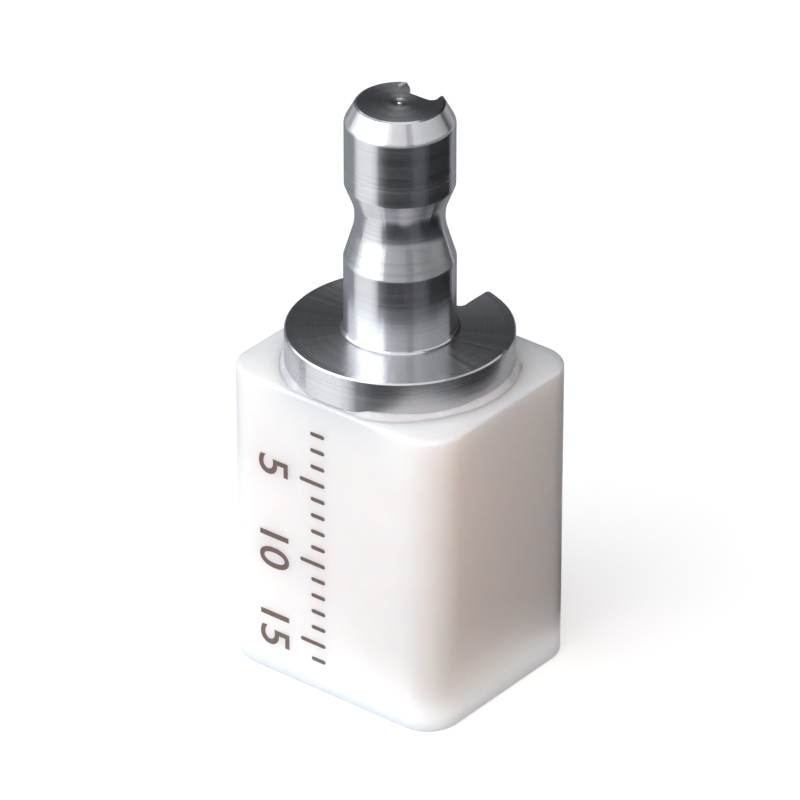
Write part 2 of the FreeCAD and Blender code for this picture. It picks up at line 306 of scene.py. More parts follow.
@dataclass(frozen=True)
class TurnedSteel:
    """Stainless steel bar, turned on a lathe in fine feed rings.

    The rings run round the axis, so a lamp is drawn out along the mandrel as a narrow upright band, and
    the flat ends carry a bow-tie gleam. The tool's chatter leaves faint streaks along the axis.
    """

    colour: str = "#CACBCE"
    # Painted shade: the grooves between the rings are drawn in this darker grey.
    groove: str = "#C0C1C5"
    roughness: float = 0.24
    flange_roughness: float = 0.3
    flange_from_mm: Span = (3.05, 3.3)
    grain: float = 0.76
    grain_turn: float = 0.25
    feed_mm: float = 0.12
    feed_detail: float = 1.0
    feed_wear: Span = (-0.01, 0.015)
    band_mm: float = 0.9
    band_detail: float = 2.0
    band_wear: Span = (-0.03, 0.03)
    outward_gain: float = 1.7
    noise_span: Span = (0.25, 0.75)
    tint_span: Span = (0.3, 0.62)
    chatter_per_radian: float = 11.0
    chatter_detail: float = 1.0
    chatter_gain: float = 16.0
    chatter_radius_mm: float = 3.0
    relief_mm: float = 0.0005

    def material(self) -> bpy.types.Material:
        """Build the material.

        Returns:
            The material.
        """
        material, tree = new_material("turned_stainless_steel")
        place = add_node(tree, "TexCoord").outputs["Object"]
        parts = add_node(tree, "SeparateXYZ", {0: place})
        flat = add_node(tree, "CombineXYZ", {0: parts.outputs[0], 1: parts.outputs[1]}).outputs[0]
        radius = add_node(tree, "VectorMath", {0: flat}, operation="LENGTH").outputs["Value"]
        direction = add_node(tree, "VectorMath", {0: flat}, operation="NORMALIZE").outputs[0]
        # One length that grows up the shank and outwards over the flat ends, so that rings cover both.
        along = add_node(
            tree,
            "Math",
            {0: radius, 1: self.outward_gain, 2: parts.outputs[2]},
            operation="MULTIPLY_ADD",
        ).outputs[0]
        # Real feed is about 0.06 mm a turn; drawn twice as wide, so that single rings show.
        marks: list[bpy.types.NodeSocket] = []
        for pitch, detail in ((self.feed_mm, self.feed_detail), (self.band_mm, self.band_detail)):
            step = add_node(tree, "Math", {0: along, 1: 1 / (pitch * MM)}, operation="MULTIPLY").outputs[0]
            mark = add_node(
                tree, "TexNoise", {"W": step, "Scale": 1.0, "Detail": detail}, noise_dimensions="1D"
            )
            marks.append(mark.outputs[0])
        rings = marks[0]
        chatter = add_node(
            tree,
            "TexNoise",
            {"Vector": direction, "Scale": self.chatter_per_radian, "Detail": self.chatter_detail},
        ).outputs[0]
        low, high = self.noise_span
        wear = [
            add_node(
                tree,
                "MapRange",
                {"Value": mark, "From Min": low, "From Max": high, "To Min": span[0], "To Max": span[1]},
            ).outputs[0]
            for mark, span in zip(marks, (self.feed_wear, self.band_wear))
        ]
        # The flange was turned with a coarser tool than the stem.
        region = add_node(
            tree,
            "MapRange",
            {
                "Value": radius,
                "From Min": self.flange_from_mm[0] * MM,
                "From Max": self.flange_from_mm[1] * MM,
                "To Min": self.roughness,
                "To Max": self.flange_roughness,
            },
        )
        rough = add_node(tree, "Math", {0: wear[0], 1: wear[1]}, operation="ADD")
        rough = add_node(tree, "Math", {0: rough.outputs[0], 1: region.outputs[0]}, operation="ADD")
        # Chatter keeps its slope from the axis to the rim, so its height grows with the radius.
        swell = add_node(
            tree,
            "Math",
            {0: radius, 1: self.chatter_gain / (self.chatter_radius_mm * MM)},
            operation="MULTIPLY",
        ).outputs[0]
        height = add_node(tree, "Math", {0: chatter, 1: swell, 2: rings}, operation="MULTIPLY_ADD")
        relief = add_node(
            tree,
            "Bump",
            {"Strength": 1.0, "Distance": self.relief_mm * MM, "Height": height.outputs[0]},
        )
        # The rings' tint is partly their own pattern and partly painted shade: the grooves, low in the bump,
        # are painted darker.
        shade = add_node(
            tree,
            "MapRange",
            {"Value": rings, "From Min": self.tint_span[0], "From Max": self.tint_span[1]},
        )
        tint = add_node(
            tree,
            "Mix",
            {MIX_SHARE: shade.outputs[0], MIX_A: linear(self.groove), MIX_B: linear(self.colour)},
            data_type="RGBA",
        )
        tangent = add_node(tree, "VectorMath", {0: (0.0, 0.0, 1.0), 1: direction}, operation="CROSS_PRODUCT")
        shader = add_node(
            tree,
            "BsdfPrincipled",
            {
                "Base Color": tint.outputs[MIX_RESULT],
                "Metallic": 1.0,
                "Roughness": rough.outputs[0],
                "Anisotropic": self.grain,
                "Anisotropic Rotation": self.grain_turn,
                "Tangent": tangent.outputs[0],
                "Normal": relief.outputs[0],
            },
        )
        add_node(tree, "OutputMaterial", {"Surface": shader.outputs[0]})
        return material


@dataclass(frozen=True)
class MilledSteel:
    """Stainless steel as an end mill leaves it.

    Short straight cutter marks cross the notch, so it looks brighter and coarser than the turned rings.
    """

    colour: str = "#D2D2D3"
    roughness: float = 0.4
    smoother: float = 0.08
    rougher: float = 0.12
    mark_mm: float = 0.12
    mark_detail: float = 2.0
    mark_depth_mm: float = 0.006
    mark_stretch: Triple = (0.12, 1.0, 1.0)

    def material(self) -> bpy.types.Material:
        """Build the material.

        Returns:
            The material.
        """
        material, tree = new_material("milled_stainless_steel")
        place = add_node(tree, "TexCoord").outputs["Object"]
        # Real cutter marks are about 0.05 mm apart; drawn over twice as wide, so that they show.
        stretched = add_node(tree, "Mapping", {"Vector": place, "Scale": self.mark_stretch}).outputs[0]
        marks = add_node(
            tree,
            "TexNoise",
            {"Vector": stretched, "Scale": 1 / (self.mark_mm * MM), "Detail": self.mark_detail},
        ).outputs[0]
        rough = add_node(
            tree,
            "MapRange",
            {
                "Value": marks,
                "To Min": self.roughness - self.smoother,
                "To Max": self.roughness + self.rougher,
            },
        )
        relief = add_node(
            tree, "Bump", {"Strength": 1.0, "Distance": self.mark_depth_mm * MM, "Height": marks}
        )
        shader = add_node(
            tree,
            "BsdfPrincipled",
            {
                "Base Color": linear(self.colour),
                "Metallic": 1.0,
                "Roughness": rough.outputs[0],
                "Normal": relief.outputs[0],
            },
        )
        add_node(tree, "OutputMaterial", {"Surface": shader.outputs[0]})
        return material


@dataclass(frozen=True)
class PrintedInk:
    """Pad-printed ink, thin over ground ceramic.

    It is a warm brown-grey, matt, and a little thin in places where the pad lifted.
    """

    colour: str = "#54443F"
    thin: str = "#6E5C55"
    index: float = 1.5
    roughness: Span = (0.45, 0.65)
    fleck_mm: float = 0.25
    fleck_detail: float = 4.0

    def material(self) -> bpy.types.Material:
        """Build the material.

        Returns:
            The material.
        """
        material, tree = new_material("pad_printed_brown_ink")
        place = add_node(tree, "TexCoord").outputs["Object"]
        fleck = add_node(
            tree,
            "TexNoise",
            {"Vector": place, "Scale": 1 / (self.fleck_mm * MM), "Detail": self.fleck_detail},
        ).outputs[0]
        tint = add_node(
            tree,
            "Mix",
            {MIX_SHARE: fleck, MIX_A: linear(self.thin), MIX_B: linear(self.colour)},
            data_type="RGBA",
        )
        matt = add_node(
            tree, "MapRange", {"Value": fleck, "To Min": self.roughness[0], "To Max": self.roughness[1]}
        )
        shader = add_node(
            tree,
            "BsdfPrincipled",
            {"Base Color": tint.outputs[MIX_RESULT], "Roughness": matt.outputs[0], "IOR": self.index},
        )
        add_node(tree, "OutputMaterial", {"Surface": shader.outputs[0]})
        return material


@dataclass
class CeramicBlock:
    """The ceramic block, which keeps its CAD mesh."""

    finish: FiredCeramic = field(default_factory=FiredCeramic)

    def dress(self) -> bpy.types.Object:
        """Give the block its material.

        Returns:
            The block.
        """
        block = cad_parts[Node.BLOCK.value]
        block.data.materials.clear()
        block.data.materials.append(self.finish.material())
        return block


@dataclass
class PrintedScale:
    """A plain millimetre scale on the front face, measured down from the block's top."""

    face_y: float = -6.2
    top_z: float = 18.0
    film: float = 0.008
    tick_right: float = -0.15
    short_tick: float = 0.95
    long_tick: float = 1.7
    line_width: float = 0.24
    end_steps: int = 8
    first_mm: int = 2
    last_mm: int = 16
    numbered_every: int = 5
    digit_height: float = 2.05
    digit_left: float = -4.6
    digit_boldness: float = 0.02
    capital_share: float = 0.73
    finish: PrintedInk = field(default_factory=PrintedInk)

    def build(self) -> bpy.types.Object:
        """Build the printed marks as one thin piece.

        Returns:
            The piece.
        """
        ink = bmesh.new()
        for mark in range(self.first_mm, self.last_mm + 1):
            length = self.short_tick if mark % self.numbered_every else self.long_tick
            self._tick(ink, self.tick_right - length, self.top_z - mark, length)
        for mark in range(self.numbered_every, self.last_mm + 1, self.numbered_every):
            self._digits(ink, str(mark), self.top_z - mark)
        piece = mesh_object("printed_scale", ink)
        piece.data.materials.append(self.finish.material())
        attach(piece, BODY)
        return piece

    def _tick(self, ink: bmesh.types.BMesh, left: float, height: float, length: float) -> None:
        """Draw one graduation with round ends.

        Args:
            ink: The mesh that takes it.
            left: Its left end across the face.
            height: Its height.
            length: Its length.
        """
        half = self.line_width / 2
        outline: list[Point] = []
        for end, start in ((left + length - half, -90), (left + half, 90)):
            for step in range(self.end_steps + 1):
                turn = math.radians(start + 180 * step / self.end_steps)
                outline.append((end + half * math.cos(turn), height + half * math.sin(turn)))
        lower = [ink.verts.new((x, self.face_y, z)) for x, z in outline]
        self._thicken(ink, [ink.faces.new(lower)])

    def _thicken(self, ink: bmesh.types.BMesh, faces: list[bmesh.types.BMFace]) -> None:
        """Turn flat outlines into a closed film of ink.

        Args:
            ink: The mesh that holds them.
            faces: The flat faces, which lie on the block.
        """
        rim = [loop for face in faces for loop in face.loops if len(loop.edge.link_faces) == 1]
        sides = [(loop.vert, loop.link_loop_next.vert) for loop in rim]
        raised: dict[bmesh.types.BMVert, bmesh.types.BMVert] = {}
        for vert in (corner for face in faces for corner in face.verts):
            if vert not in raised:
                raised[vert] = ink.verts.new(vert.co - Vector((0, self.film, 0)))
        for face in faces:
            ink.faces.new([raised[vert] for vert in face.verts])
        for a, b in sides:
            ink.faces.new((a, b, raised[b], raised[a]))
        bmesh.ops.recalc_face_normals(ink, faces=ink.faces[:])

    def _digits(self, ink: bmesh.types.BMesh, text: str, height: float) -> None:
        """Draw one number, reading downwards.

        Args:
            ink: The mesh that takes it.
            text: The number.
            height: The height of its middle.
        """
        curve = bpy.data.curves.new("number", "FONT")
        curve.body = text
        curve.align_x = "CENTER"
        curve.size = self.digit_height / self.capital_share
        curve.fill_mode = "FRONT"
        curve.offset = self.digit_boldness
        letters = bpy.data.objects.new("number", curve)
        bpy.context.scene.collection.objects.link(letters)
        bpy.context.view_layer.update()
        flat = bpy.data.meshes.new_from_object(letters)
        bpy.data.objects.remove(letters)
        bpy.data.curves.remove(curve)
        turn = Matrix(((0, 1, 0, self.digit_left), (0, 0, -1, self.face_y), (-1, 0, 0, height), (0, 0, 0, 1)))
        flat.transform(turn)
        known = len(ink.faces)
        ink.from_mesh(flat)
        bpy.data.meshes.remove(flat)
        ink.faces.ensure_lookup_table()
        self._thicken(ink, ink.faces[known:])


@dataclass
class CementBead:
    """The film of cement under the flange and the bead squeezed out round it."""

    block_top: float = 18.0
    film: float = 0.12
    flange_radius: float = 6.15
    width: float = 0.34
    crest: float = 0.27
    swing: float = 0.14
    slow_per_radian: float = 2.1
    quick_per_radian: float = 7.0
    quick_share: float = 0.3
    reach_x: float = 7.0
    reach_y: float = 5.98
    notch_half: float = 1.2
    notch_wall: float = 3.7
    tuck: float = 0.06
    least_bead: float = 0.04
    lap: float = 0.05
    under: float = 0.4
    cling: float = 0.01
    toe_sunk: float = 0.03
    hollow: float = 1.7
    arc_steps: int = 7
    steps: int = 540
    finish: SetCement = field(default_factory=SetCement)

    def _wall(self, turn: float) -> float:
        """Give the flange's radius at an angle, with its notch at the back.

        Args:
            turn: The angle round the axis, 0 on +X.

        Returns:
            The radius in millimetres.
        """
        x, y = math.cos(turn), math.sin(turn)
        if y <= 0:
            return self.flange_radius
        mouth = self.notch_half / max(abs(x), TINY)
        back = self.notch_wall / y
        return min(self.flange_radius, max(mouth, back))

    def _width(self, turn: float) -> float:
        """Give the bead's own width at an angle, wider where more cement came out.

        Args:
            turn: The angle round the axis.

        Returns:
            The width in millimetres.
        """
        slow_layer, quick_layer = 0.4, 3.1
        x, y = math.cos(turn), math.sin(turn)
        slow = noise.noise(Vector((self.slow_per_radian * x, self.slow_per_radian * y, slow_layer)))
        quick = noise.noise(Vector((self.quick_per_radian * x, self.quick_per_radian * y, quick_layer)))
        return self.width + self.swing * slow + self.quick_share * self.swing * quick

    def _profile(self, wall: float, toe: float) -> list[Point]:
        """Draw the cement's section at one angle, from under the flange to the toe and back below.

        Args:
            wall: The flange's radius there.
            toe: The radius at which the bead ends.

        Returns:
            Radius and height over the block's top, point by point.
        """
        out = max(toe - wall, 0.0)
        top = self.film + self.crest * min(1.0, out / self.width) + self.cling
        inner = min(wall - self.tuck, toe - self.least_bead)
        start, run = inner + self.lap, toe - inner - self.lap
        points: list[Point] = [(inner - self.under, self.film), (inner, self.film)]
        for k in range(self.arc_steps + 1):
            share = k / self.arc_steps
            height = top * (1 - share) ** self.hollow - self.toe_sunk * share
            points.append((start + run * share, height))
        points.append((inner - self.under, -self.toe_sunk))
        return points

    def build(self) -> bpy.types.Object:
        """Build the cement.

        Returns:
            The piece.
        """
        bead = bmesh.new()
        rings: list[list[bmesh.types.BMVert]] = []
        for step in range(self.steps):
            turn = 2 * math.pi * step / self.steps
            x, y = math.cos(turn), math.sin(turn)
            wall = self._wall(turn)
            reach = min(self.reach_x / max(abs(x), TINY), self.reach_y / max(abs(y), TINY))
            toe = min(wall + self._width(turn), reach)
            section = self._profile(wall, toe)
            rings.append([bead.verts.new((r * x, r * y, self.block_top + h)) for r, h in section])
        count = len(rings[0])
        for a, b in zip(rings, rings[1:] + rings[:1]):
            for k in range(count - 1):
                bead.faces.new((a[k], a[k + 1], b[k + 1], b[k]))
        bead.faces.new([ring[0] for ring in rings])
        bead.faces.new([ring[-1] for ring in rings][::-1])
        bmesh.ops.recalc_face_normals(bead, faces=bead.faces[:])
        for face in bead.faces:
            face.smooth = True
        piece = mesh_object("cement_bead", bead)
        piece.data.materials.append(self.finish.material())
        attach(piece, BODY)
        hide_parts(Node.CEMENT.value)
        return piece


@dataclass(frozen=True)
class Corner:
    """A corner of the turned outline: its radius from the axis, its height, and how far it is eased."""

    out: float
    up: float
    ease: float = 0.0
    flat: bool = False


def eased_outline(corners: Sequence[Corner], arc_step: float = 7.0, longest: float = 0.3) -> list[Point]:
    """Draw a turned outline through its corners, each rounded or broken flat.

    Args:
        corners: The corners in order.
        arc_step: Degrees between points on a rounding.
        longest: The longest straight run between two points.

    Returns:
        The outline's points.
    """
    stretches: list[list[Vector]] = []
    for index, corner in enumerate(corners):
        here = Vector((corner.out, corner.up))
        if corner.ease == 0.0:
            stretches.append([here])
            continue
        before = (Vector((corners[index - 1].out, corners[index - 1].up)) - here).normalized()
        after = (Vector((corners[index + 1].out, corners[index + 1].up)) - here).normalized()
        if corner.flat:
            stretches.append([here + before * corner.ease, here + after * corner.ease])
            continue
        between = before.angle(after)
        run = corner.ease / math.tan(between / 2)
        centre = here + (before + after).normalized() * corner.ease / math.sin(between / 2)
        first, last = here + before * run - centre, here + after * run - centre
        swept = first.angle_signed(last)
        count = max(2, math.ceil(math.degrees(abs(swept)) / arc_step))
        turn = [Matrix.Rotation(-swept * k / count, 2) for k in range(count + 1)]
        stretches.append([centre + step @ first for step in turn])
    # A point close to each end of a straight run keeps the shading flat along it.
    guard = 0.03
    points: list[Vector] = list(stretches[0])
    for stretch in stretches[1:]:
        start, end = points[-1], stretch[0]
        length = (end - start).length
        if length > 3 * guard:
            way = (end - start).normalized()
            inner = length - 2 * guard
            count = max(1, math.ceil(inner / longest))
            points += [start + way * (guard + inner * k / count) for k in range(count + 1)]
        points += stretch
    return [(point.x, point.y) for point in points]


@dataclass(frozen=True)
class Notch:
    """A notch milled into a turned part from its rim, on the side away from the print.

    Each level is a height and how far the notch is widened there.
    """

    name: str
    wall: float
    rim: float
    levels: tuple[Point, ...]
    half: float = 1.2
    corner: float = 0.3
    mouth: float = 0.25
    beyond: float = 1.2
    overlap_degrees: float = 12.0
    least_mouth: float = 0.02
    arc_steps: int = 6

    def _outline(self, grow: float) -> list[Point]:
        """Draw the notch from above, grown by a given amount.

        Args:
            grow: How far the outline stands out from the notch's own walls.

        Returns:
            The outline's points, symmetric about the middle of the notch.
        """
        side: list[Point] = [(0.0, self.wall - grow)]
        centre_x, centre_y = self.half - self.corner, self.wall + self.corner
        for step in range(self.arc_steps + 1):
            turn = math.radians(-90 + 90 * step / self.arc_steps)
            reach = self.corner + grow
            side.append((centre_x + reach * math.cos(turn), centre_y + reach * math.sin(turn)))
        lip_x = self.half + self.mouth
        lip_y = math.sqrt((self.rim - self.mouth) ** 2 - lip_x**2)
        stop = math.degrees(math.atan2(lip_y, lip_x)) + self.overlap_degrees
        for step in range(self.arc_steps + 1):
            turn = math.radians(180 + (stop - 180) * step / self.arc_steps)
            reach = max(self.mouth - grow, self.least_mouth)
            side.append((lip_x + reach * math.cos(turn), lip_y + reach * math.sin(turn)))
        end_x, end_y = side[-1]
        side.append((end_x + self.beyond / 2, end_y + self.beyond))
        return side + [(-x, y) for x, y in reversed(side[1:])]

    def cutter(self) -> bpy.types.Object:
        """Build the solid that is taken away.

        Returns:
            The cutter.
        """
        solid = bmesh.new()
        loops = [[solid.verts.new((x, y, up)) for x, y in self._outline(grow)] for up, grow in self.levels]
        for low, high in zip(loops, loops[1:]):
            for a, b, c, d in zip(low, low[1:] + low[:1], high[1:] + high[:1], high):
                solid.faces.new((a, b, c, d))
        solid.faces.new(loops[0])
        solid.faces.new(loops[-1])
        bmesh.ops.recalc_face_normals(solid, faces=solid.faces[:])
        return mesh_object(self.name, solid)


@dataclass
class Mandrel:
    """The steel mandrel: turned in one piece, then notched in the flange and in the head."""

    foot_up: float = 18.12
    flange_radius: float = 6.15
    flange_thickness: float = 2.0
    edge_break: float = 0.08
    stem_radius: float = 3.0
    foot_rounding: float = 0.25
    land: float = 4.3
    shoulder_rounding: float = 0.2
    lower_taper: float = 2.0
    waist_radius: float = 2.4
    waist: float = 1.0
    waist_rounding: float = 2.4
    upper_taper: float = 1.4
    head_radius: float = 2.95
    head: float = 3.6
    nose: float = 1.1
    nose_radius: float = 2.35
    nose_rounding: float = 0.5
    head_notch_wall: float = 1.2
    head_notch_depth: float = 1.2
    head_notch_lip: float = 0.1
    flange_notch_wall: float = 3.7
    # The parting tool leaves a shallow dish with a torn pip on the axis: radius, and height over the end.
    pip: tuple[Point, ...] = (
        (0.46, 0.0),
        (0.34, -0.018),
        (0.2, -0.03),
        (0.13, -0.028),
        (0.1, 0.006),
        (0.05, 0.02),
        (0.0, 0.026),
    )
    overrun: float = 0.3
    segments: int = 288
    sharp_degrees: float = 24.0
    finish: TurnedSteel = field(default_factory=TurnedSteel)
    notch_finish: MilledSteel = field(default_factory=MilledSteel)

    @property
    def flange_top(self) -> float:
        """Give the height of the flange's top."""
        return self.foot_up + self.flange_thickness

    @property
    def top(self) -> float:
        """Give the height of the nose's flat end."""
        waist_high = self.flange_top + self.land + self.lower_taper + self.waist
        return waist_high + self.upper_taper + self.head + self.nose

    def _outline(self) -> list[Point]:
        """Draw the turned outline from the axis under the flange to the axis on top of the head.

        Returns:
            The outline's points.
        """
        land_top = self.flange_top + self.land
        waist_low = land_top + self.lower_taper
        waist_high = waist_low + self.waist
        head_low = waist_high + self.upper_taper
        corners = [
            Corner(0.0, self.foot_up),
            Corner(self.flange_radius, self.foot_up, self.edge_break, flat=True),
            Corner(self.flange_radius, self.flange_top, self.edge_break, flat=True),
            Corner(self.stem_radius, self.flange_top, self.foot_rounding),
            Corner(self.stem_radius, land_top, self.shoulder_rounding),
            Corner(self.waist_radius, waist_low, self.waist_rounding),
            Corner(self.waist_radius, waist_high, self.waist_rounding),
            Corner(self.head_radius, head_low, self.shoulder_rounding),
            Corner(self.head_radius, head_low + self.head, self.nose_rounding),
            Corner(self.nose_radius, self.top, self.edge_break, flat=True),
        ]
        corners += [Corner(out, self.top + up) for out, up in self.pip]
        return eased_outline(corners)

    def _turned(self) -> bpy.types.Object:
        """Spin the outline into a solid.

        Returns:
            The solid, without its notches.
        """
        blank = bmesh.new()
        turns = [2 * math.pi * k / self.segments for k in range(self.segments)]
        rings: list[list[bmesh.types.BMVert]] = []
        for out, up in self._outline():
            if out < TINY:
                rings.append([blank.verts.new((0.0, 0.0, up))])
            else:
                rings.append([blank.verts.new((out * math.cos(t), out * math.sin(t), up)) for t in turns])
        for low, high in zip(rings, rings[1:]):
            for k in range(self.segments):
                n = (k + 1) % self.segments
                if len(low) == 1:
                    blank.faces.new((low[0], high[n], high[k]))
                elif len(high) == 1:
                    blank.faces.new((low[k], low[n], high[0]))
                else:
                    blank.faces.new((low[k], low[n], high[n], high[k]))
        bmesh.ops.recalc_face_normals(blank, faces=blank.faces[:])
        return mesh_object("mandrel_turned", blank)

    def _notches(self) -> tuple[Notch, Notch]:
        """Lay out the two notches, each with its upper edge broken.

        Returns:
            The head's notch and the flange's.
        """
        head = Notch(
            "head_notch",
            wall=self.head_notch_wall,
            rim=self.head_radius,
            levels=(
                (self.top - self.head_notch_depth, 0.0),
                (self.top - self.head_notch_lip, 0.0),
                (self.top + self.overrun, self.overrun + self.head_notch_lip),
            ),
        )
        flange = Notch(
            "flange_notch",
            wall=self.flange_notch_wall,
            rim=self.flange_radius,
            levels=(
                (self.foot_up - self.overrun, self.overrun),
                (self.foot_up + self.edge_break, 0.0),
                (self.flange_top - self.edge_break, 0.0),
                (self.flange_top + self.overrun, self.overrun),
            ),
        )
        return head, flange

    def build(self) -> bpy.types.Object:
        """Build the mandrel and mill its notches.

        Returns:
            The piece.
        """
        piece = self._turned()
        piece.data.materials.append(self.finish.material())
        milled = self.notch_finish.material()
        cutters = []
        for notch in self._notches():
            cutter = notch.cutter()
            cutter.data.materials.append(milled)
            step = piece.modifiers.new(notch.name, "BOOLEAN")
            step.object = cutter
            step.operation = "DIFFERENCE"
            step.solver = "EXACT"
            step.material_mode = "TRANSFER"
            cutters.append(cutter)
        bpy.context.view_layer.update()
        cut = bpy.data.meshes.new_from_object(piece.evaluated_get(bpy.context.evaluated_depsgraph_get()))
        piece.modifiers.clear()
        piece.data = cut
        for cutter in cutters:
            bpy.data.objects.remove(cutter)
        cut.shade_smooth()
        cut.set_sharp_from_angle(angle=math.radians(self.sharp_degrees))
        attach(piece, BODY)
        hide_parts(Node.MANDREL.value)
        return piece


@dataclass(frozen=True)
class Softbox:
    """One soft lamp, which can be kept out of the steel's mirror image or off the matt surfaces."""

    name: str
    azimuth: float
    elevation: float
    distance: float
    width: float
    height: float
    radiance: float
    colour: str = "#FFFFFF"
    mirrored: bool = True
    lights_matt: bool = True

    def build(self, aim: Vector) -> bpy.types.Object:
        """Hang the lamp.

        Args:
            aim: The point that it faces, in metres.

        Returns:
            The lamp.
        """
        light = bpy.data.lights.new(self.name, "AREA")
        light.shape = "RECTANGLE"
        light.size = self.width * MM
        light.size_y = self.height * MM
        light.color = linear(self.colour)[:3]
        light.energy = self.radiance * math.pi * light.size * light.size_y
        lamp = bpy.data.objects.new(self.name, light)
        away = heading(self.azimuth, self.elevation)
        lamp.location = aim + away * self.distance * MM
        lamp.rotation_euler = away.to_track_quat("Z", "Y").to_euler()
        lamp.visible_glossy = self.mirrored
        lamp.visible_diffuse = self.lights_matt
        bpy.context.scene.collection.objects.link(lamp)
        return lamp


@dataclass(frozen=True)
class DarkCard:
    """A sector of dark card laid out of frame, which the steel mirrors as its dark bands."""

    name: str
    start: float
    end: float
    inner: float
    outer: float
    colour: str
    # The lighter colour is painted light: random blotches and one lighter side.
    crease: str
    fade: float = 6.0
    height: float = 1.0
    steps: int = 24
    # Sizes of the lighter blotches, which are painted light.
    fold_scale: float = 2.2
    fold_detail: float = 3.0
    fold_span: Span = (0.45, 0.75)
    # The card is painted lighter on the side facing this azimuth, as painted light.
    patch_azimuth: float = 80.0
    patch_edge: float = 0.93
    patch_gain: float = 0.35

    def build(self) -> bpy.types.Object:
        """Lay the card.

        Returns:
            The card.
        """
        card = bmesh.new()
        rows: list[list[bmesh.types.BMVert]] = []
        edges = (self.inner, self.outer)
        for step in range(self.steps + 1):
            way = heading(self.start + (self.end - self.start) * step / self.steps, 0.0)
            rows.append([card.verts.new((way.x * r, way.y * r, self.height)) for r in edges])
        for a, b in zip(rows, rows[1:]):
            card.faces.new((a[0], a[1], b[1], b[0]))
        bmesh.ops.recalc_face_normals(card, faces=card.faces[:])
        if card.faces[:][0].normal.z < 0:
            bmesh.ops.reverse_faces(card, faces=card.faces[:])
        piece = mesh_object(self.name, card)
        piece.data.materials.append(self._board())
        piece.visible_camera = False
        piece.visible_shadow = False
        piece.visible_transmission = False
        return piece

    def _board(self) -> bpy.types.Material:
        """Build the card's matt board, with painted light on it: random lighter blotches and a lighter side.

        Returns:
            The material.
        """
        material, tree = new_material(self.name + "_matt_board")
        place = add_node(tree, "TexCoord").outputs["Object"]
        way = add_node(tree, "VectorMath", {0: place}, operation="NORMALIZE").outputs[0]
        # Painted light: random lighter blotches on the flat card, like light caught in creases.
        painted_blotches = add_node(
            tree, "TexNoise", {"Vector": way, "Scale": self.fold_scale, "Detail": self.fold_detail}
        )
        # Painted light: the card is painted lighter on the side facing one azimuth.
        facing = add_node(
            tree,
            "VectorMath",
            {0: way, 1: tuple(heading(self.patch_azimuth, 0.0))},
            operation="DOT_PRODUCT",
        )
        painted_side = add_node(
            tree,
            "MapRange",
            {"Value": facing.outputs["Value"], "From Min": self.patch_edge, "To Max": self.patch_gain},
        )
        # The painted light of the blotches and of the lighter side, together.
        pale = add_node(tree, "Math", {0: painted_blotches.outputs[0], 1: painted_side.outputs[0]}, operation="ADD")
        share = add_node(
            tree,
            "MapRange",
            {"Value": pale.outputs[0], "From Min": self.fold_span[0], "From Max": self.fold_span[1]},
            interpolation_type="SMOOTHSTEP",
        )
        tint = add_node(
            tree,
            "Mix",
            {MIX_SHARE: share.outputs[0], MIX_A: linear(self.colour), MIX_B: linear(self.crease)},
            data_type="RGBA",
        )
        board = add_node(tree, "BsdfDiffuse", {"Color": tint.outputs[MIX_RESULT]})
        # Its underside lets light through, so that it darkens the object and not the floor below it.
        under = add_node(tree, "NewGeometry").outputs["Backfacing"]
        # It thins out over its first degrees, so that its edge is soft in the steel.
        from_start = add_node(
            tree, "VectorMath", {0: way, 1: tuple(heading(self.start, 0.0))}, operation="DOT_PRODUCT"
        )
        thin = add_node(
            tree,
            "MapRange",
            {"Value": from_start.outputs["Value"], "From Min": math.cos(math.radians(self.fade))},
        )
        gaps = add_node(tree, "Math", {0: under, 1: thin.outputs[0]}, operation="MAXIMUM").outputs[0]
        clear = add_node(tree, "BsdfTransparent")
        shader = add_node(tree, "MixShader", {0: gaps, 1: board.outputs[0], 2: clear.outputs[0]})
        add_node(tree, "OutputMaterial", {"Surface": shader.outputs[0]})
        return material


@dataclass(frozen=True)
class PaperFloor:
    """The plain pale floor. It glows a little for the camera and in the steel, and keeps the shadow."""

    radius: float = 4000.0
    segments: int = 128
    colour: str = "#F3F3F2"
    shade: str = "#EFEFEE"
    roughness: float = 0.9
    specular: float = 0.2
    glow: float = 0.35
    fibre_mm: float = 2.0
    fibre_detail: float = 3.0

    def build(self) -> bpy.types.Object:
        """Lay the floor.

        Returns:
            The floor.
        """
        sheet = bmesh.new()
        bmesh.ops.create_circle(sheet, cap_ends=True, segments=self.segments, radius=self.radius)
        floor = mesh_object("floor", sheet)
        floor.data.materials.append(self._paper())
        return floor

    def _paper(self) -> bpy.types.Material:
        """Build the floor's matt paper.

        Returns:
            The material.
        """
        material, tree = new_material("pale_matt_paper")
        place = add_node(tree, "TexCoord").outputs["Object"]
        fibre = add_node(
            tree,
            "TexNoise",
            {"Vector": place, "Scale": 1 / (self.fibre_mm * MM), "Detail": self.fibre_detail},
        )
        tint = add_node(
            tree,
            "Mix",
            {MIX_SHARE: fibre.outputs[0], MIX_A: linear(self.shade), MIX_B: linear(self.colour)},
            data_type="RGBA",
        )
        # Only the camera, mirrors and clear bodies see the glow, so matt surfaces get no light from it.
        path = add_node(tree, "LightPath").outputs
        seen = path["Is Camera Ray"]
        for kind in ("Is Glossy Ray", "Is Transmission Ray"):
            seen = add_node(tree, "Math", {0: seen, 1: path[kind]}, operation="MAXIMUM").outputs[0]
        glow = add_node(tree, "Math", {0: seen, 1: self.glow}, operation="MULTIPLY")
        shader = add_node(
            tree,
            "BsdfPrincipled",
            {
                "Base Color": tint.outputs[MIX_RESULT],
                "Roughness": self.roughness,
                "Specular IOR Level": self.specular,
                "Emission Color": (1.0, 1.0, 1.0, 1.0),
                "Emission Strength": glow.outputs[0],
            },
        )
        add_node(tree, "OutputMaterial", {"Surface": shader.outputs[0]})
        return material


